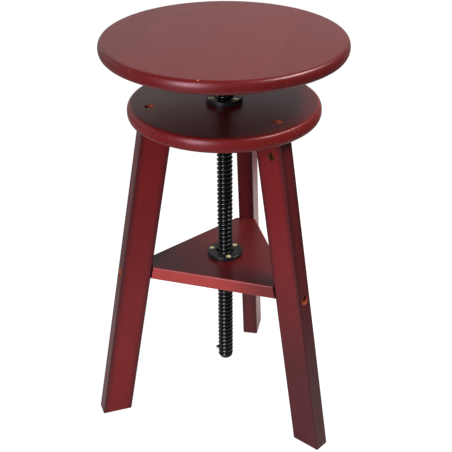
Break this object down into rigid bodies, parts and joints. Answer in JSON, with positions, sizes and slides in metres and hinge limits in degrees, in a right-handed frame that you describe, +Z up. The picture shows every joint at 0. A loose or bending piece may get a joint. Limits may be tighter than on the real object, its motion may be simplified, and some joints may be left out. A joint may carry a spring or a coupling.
{
  "type": "artist stool",
  "caption": "Three-legged wooden stool whose round seat turns up and down on a coarse steel screw, with a round top disc and a triangular shelf.",
  "frame": {"origin": "on the screw's axis, at floor level between the three feet", "axes": "+Z up along the screw, +Y towards the back leg, +X to the right seen from the front"},
  "size_m": [0.3763, 0.3872, 0.615],
  "materials": {
    "seat_stain": "satin mahogany-red stain",
    "disc_stain": "satin mahogany-red stain, darker rim",
    "leg_stain": "satin mahogany-red stain, dark edges",
    "shelf_stain": "satin mahogany-red stain, dark edges",
    "black_screw": "gloss black",
    "black_flange": "satin black",
    "plate_black": "satin black",
    "brass_screw": "bright brass",
    "aged_brass": "antique brown brass",
    "zinc_steel": "zinc plated",
    "bare_wood": "raw beech",
    "nylon": "natural nylon"
  },
  "bodies": {
    "frame": {"top_disc": "disc_stain", "disc_flange_nut": "black_flange", "disc_flange_screws": "brass_screw", "leg_back": "leg_stain", "leg_left": "leg_stain", "leg_right": "leg_stain", "leg_bolts": "zinc_steel", "leg_bolt_washers": "zinc_steel", "leg_barrel_nuts": "aged_brass", "leg_pins": "bare_wood", "shelf": "shelf_stain", "shelf_flange": "black_flange", "shelf_flange_screws": "brass_screw", "guide_ring_clip": "zinc_steel", "shelf_bolts": "zinc_steel", "shelf_bolt_washers": "zinc_steel", "shelf_barrel_nuts": "aged_brass"},
    "guide": {"guide_ring": "nylon"},
    "seat": {"seat": "seat_stain", "seat_plate": "plate_black", "seat_plate_screws": "zinc_steel", "threaded_rod": "black_screw", "stop_pin": "black_screw"}
  },
  "joints": [
    {"name": "seat_turn", "type": "hinge", "parent": "frame", "child": "guide", "pos_m": [0, 0, 0.2535], "axis": [0, 0, 1], "range_deg": [-3000, 7700]},
    {"name": "seat_lift", "type": "slide", "parent": "guide", "child": "seat", "axis": [0, 0, 1], "range_m": [-0.06001, 0.15401]}
  ],
  "couplings": [
    {"joint": "seat_lift", "follows": "seat_turn", "m_per_rad": 0.0011459}
  ]
}
